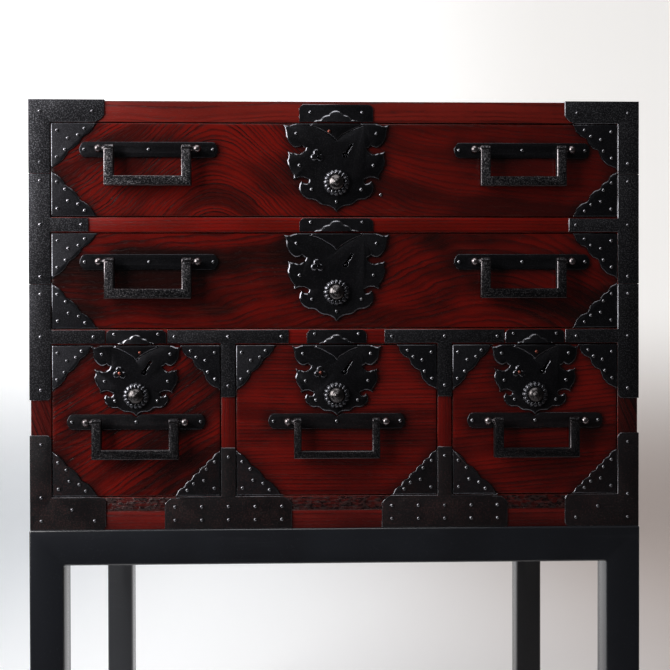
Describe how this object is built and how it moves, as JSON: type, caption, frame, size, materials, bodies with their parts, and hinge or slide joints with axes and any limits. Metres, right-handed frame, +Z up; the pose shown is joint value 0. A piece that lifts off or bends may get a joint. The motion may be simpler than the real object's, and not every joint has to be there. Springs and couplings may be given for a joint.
{
  "type": "iron-bound sea chest on a stand",
  "caption": "Red-lacquered Japanese sea chest with wrought-iron lock plates, corner irons and bail handles on its drawers, carried by a plain black square-legged stand.",
  "frame": {"origin": "on the floor under the middle of the whole object, handles included", "axes": "+Z up, the drawers' fronts look towards -Y, +X is the right-hand side seen from the front"},
  "size_m": [0.605, 0.511, 0.8235],
  "materials": {
    "red_lacquered_wood": "translucent dark red lacquer, glossy and worn",
    "plain_wood": "bare planed softwood",
    "black_iron": "blackened wrought iron sheet",
    "hammered_iron": "hammered wrought iron, worn grey",
    "nail_iron": "domed iron nail heads, polished by wear",
    "dark_bronze": "dark polished bronze",
    "black_lacquer": "satin black lacquer"
  },
  "bodies": {
    "case": {"top_board": "red_lacquered_wood", "bottom_board": "red_lacquered_wood", "left_side": "red_lacquered_wood", "right_side": "red_lacquered_wood", "back_board": "plain_wood", "upper_shelf": "red_lacquered_wood", "lower_shelf": "red_lacquered_wood", "dividers": "red_lacquered_wood", "base_rails": "plain_wood", "frame_irons": "black_iron", "frame_nails": "nail_iron", "stand_legs": "black_lacquer", "stand_rails": "black_lacquer"},
    "upper_drawer": {"upper_drawer_front": "red_lacquered_wood", "upper_drawer_box": "plain_wood", "upper_drawer_corner_irons": "black_iron", "upper_drawer_lock": "black_iron", "upper_drawer_handle_mounts": "black_iron", "upper_drawer_nails": "nail_iron"},
    "upper_drawer_left_bail": {"upper_drawer_left_bail": "hammered_iron"},
    "upper_drawer_right_bail": {"upper_drawer_right_bail": "hammered_iron"},
    "upper_drawer_lock_button": {"upper_drawer_lock_button": "dark_bronze"},
    "upper_drawer_lock_bolt": {"upper_drawer_lock_bolt": "black_iron"},
    "middle_drawer": {"middle_drawer_front": "red_lacquered_wood", "middle_drawer_box": "plain_wood", "middle_drawer_corner_irons": "black_iron", "middle_drawer_lock": "black_iron", "middle_drawer_handle_mounts": "black_iron", "middle_drawer_nails": "nail_iron"},
    "middle_drawer_left_bail": {"middle_drawer_left_bail": "hammered_iron"},
    "middle_drawer_right_bail": {"middle_drawer_right_bail": "hammered_iron"},
    "middle_drawer_lock_button": {"middle_drawer_lock_button": "dark_bronze"},
    "middle_drawer_lock_bolt": {"middle_drawer_lock_bolt": "black_iron"},
    "lower_left_drawer": {"lower_left_drawer_front": "red_lacquered_wood", "lower_left_drawer_box": "plain_wood", "lower_left_drawer_corner_irons": "black_iron", "lower_left_drawer_lock": "black_iron", "lower_left_drawer_handle_mounts": "black_iron", "lower_left_drawer_nails": "nail_iron"},
    "lower_left_drawer_bail": {"lower_left_drawer_bail": "hammered_iron"},
    "lower_left_drawer_lock_button": {"lower_left_drawer_lock_button": "dark_bronze"},
    "lower_left_drawer_lock_bolt": {"lower_left_drawer_lock_bolt": "black_iron"},
    "lower_centre_drawer": {"lower_centre_drawer_front": "red_lacquered_wood", "lower_centre_drawer_box": "plain_wood", "lower_centre_drawer_corner_irons": "black_iron", "lower_centre_drawer_lock": "black_iron", "lower_centre_drawer_handle_mounts": "black_iron", "lower_centre_drawer_nails": "nail_iron"},
    "lower_centre_drawer_bail": {"lower_centre_drawer_bail": "hammered_iron"},
    "lower_centre_drawer_lock_button": {"lower_centre_drawer_lock_button": "dark_bronze"},
    "lower_centre_drawer_lock_bolt": {"lower_centre_drawer_lock_bolt": "black_iron"},
    "lower_right_drawer": {"lower_right_drawer_front": "red_lacquered_wood", "lower_right_drawer_box": "plain_wood", "lower_right_drawer_corner_irons": "black_iron", "lower_right_drawer_lock": "black_iron", "lower_right_drawer_handle_mounts": "black_iron", "lower_right_drawer_nails": "nail_iron"},
    "lower_right_drawer_bail": {"lower_right_drawer_bail": "hammered_iron"},
    "lower_right_drawer_lock_button": {"lower_right_drawer_lock_button": "dark_bronze"},
    "lower_right_drawer_lock_bolt": {"lower_right_drawer_lock_bolt": "black_iron"}
  },
  "joints": [
    {"name": "upper_drawer_slide", "type": "slide", "parent": "case", "child": "upper_drawer", "axis": [0, -1, 0], "range_m": [0, 0.35]},
    {"name": "upper_drawer_left_bail_hinge", "type": "hinge", "parent": "upper_drawer", "child": "upper_drawer_left_bail", "pos_m": [-0.184, -0.2515, 0.773], "axis": [-1, 0, 0], "range_deg": [-5, 180]},
    {"name": "upper_drawer_right_bail_hinge", "type": "hinge", "parent": "upper_drawer", "child": "upper_drawer_right_bail", "pos_m": [0.184, -0.2515, 0.773], "axis": [-1, 0, 0], "range_deg": [-5, 180]},
    {"name": "upper_drawer_lock_button_press", "type": "slide", "parent": "upper_drawer", "child": "upper_drawer_lock_button", "axis": [0, 1, 0], "range_m": [0, 0.005]},
    {"name": "upper_drawer_lock_bolt_lift", "type": "slide", "parent": "upper_drawer", "child": "upper_drawer_lock_bolt", "axis": [0, 0, 1], "range_m": [0, 0.007]},
    {"name": "middle_drawer_slide", "type": "slide", "parent": "case", "child": "middle_drawer", "axis": [0, -1, 0], "range_m": [0, 0.35]},
    {"name": "middle_drawer_left_bail_hinge", "type": "hinge", "parent": "middle_drawer", "child": "middle_drawer_left_bail", "pos_m": [-0.184, -0.2515, 0.663], "axis": [-1, 0, 0], "range_deg": [-5, 180]},
    {"name": "middle_drawer_right_bail_hinge", "type": "hinge", "parent": "middle_drawer", "child": "middle_drawer_right_bail", "pos_m": [0.184, -0.2515, 0.663], "axis": [-1, 0, 0], "range_deg": [-5, 180]},
    {"name": "middle_drawer_lock_button_press", "type": "slide", "parent": "middle_drawer", "child": "middle_drawer_lock_button", "axis": [0, 1, 0], "range_m": [0, 0.005]},
    {"name": "middle_drawer_lock_bolt_lift", "type": "slide", "parent": "middle_drawer", "child": "middle_drawer_lock_bolt", "axis": [0, 0, 1], "range_m": [0, 0.007]},
    {"name": "lower_left_drawer_slide", "type": "slide", "parent": "case", "child": "lower_left_drawer", "axis": [0, -1, 0], "range_m": [0, 0.35]},
    {"name": "lower_left_drawer_bail_hinge", "type": "hinge", "parent": "lower_left_drawer", "child": "lower_left_drawer_bail", "pos_m": [-0.197, -0.2515, 0.506], "axis": [-1, 0, 0], "range_deg": [-5, 160]},
    {"name": "lower_left_drawer_lock_button_press", "type": "slide", "parent": "lower_left_drawer", "child": "lower_left_drawer_lock_button", "axis": [0, 1, 0], "range_m": [0, 0.005]},
    {"name": "lower_left_drawer_lock_bolt_lift", "type": "slide", "parent": "lower_left_drawer", "child": "lower_left_drawer_lock_bolt", "axis": [0, 0, 1], "range_m": [0, 0.007]},
    {"name": "lower_centre_drawer_slide", "type": "slide", "parent": "case", "child": "lower_centre_drawer", "axis": [0, -1, 0], "range_m": [0, 0.35]},
    {"name": "lower_centre_drawer_bail_hinge", "type": "hinge", "parent": "lower_centre_drawer", "child": "lower_centre_drawer_bail", "pos_m": [0, -0.2515, 0.506], "axis": [-1, 0, 0], "range_deg": [-5, 160]},
    {"name": "lower_centre_drawer_lock_button_press", "type": "slide", "parent": "lower_centre_drawer", "child": "lower_centre_drawer_lock_button", "axis": [0, 1, 0], "range_m": [0, 0.005]},
    {"name": "lower_centre_drawer_lock_bolt_lift", "type": "slide", "parent": "lower_centre_drawer", "child": "lower_centre_drawer_lock_bolt", "axis": [0, 0, 1], "range_m": [0, 0.007]},
    {"name": "lower_right_drawer_slide", "type": "slide", "parent": "case", "child": "lower_right_drawer", "axis": [0, -1, 0], "range_m": [0, 0.35]},
    {"name": "lower_right_drawer_bail_hinge", "type": "hinge", "parent": "lower_right_drawer", "child": "lower_right_drawer_bail", "pos_m": [0.197, -0.2515, 0.506], "axis": [-1, 0, 0], "range_deg": [-5, 160]},
    {"name": "lower_right_drawer_lock_button_press", "type": "slide", "parent": "lower_right_drawer", "child": "lower_right_drawer_lock_button", "axis": [0, 1, 0], "range_m": [0, 0.005]},
    {"name": "lower_right_drawer_lock_bolt_lift", "type": "slide", "parent": "lower_right_drawer", "child": "lower_right_drawer_lock_bolt", "axis": [0, 0, 1], "range_m": [0, 0.007]}
  ],
  "couplings": [
    {"joint": "upper_drawer_lock_bolt_lift", "follows": "upper_drawer_lock_button_press", "ratio": 1.4},
    {"joint": "middle_drawer_lock_bolt_lift", "follows": "middle_drawer_lock_button_press", "ratio": 1.4},
    {"joint": "lower_left_drawer_lock_bolt_lift", "follows": "lower_left_drawer_lock_button_press", "ratio": 1.4},
    {"joint": "lower_centre_drawer_lock_bolt_lift", "follows": "lower_centre_drawer_lock_button_press", "ratio": 1.4},
    {"joint": "lower_right_drawer_lock_bolt_lift", "follows": "lower_right_drawer_lock_button_press", "ratio": 1.4}
  ]
}
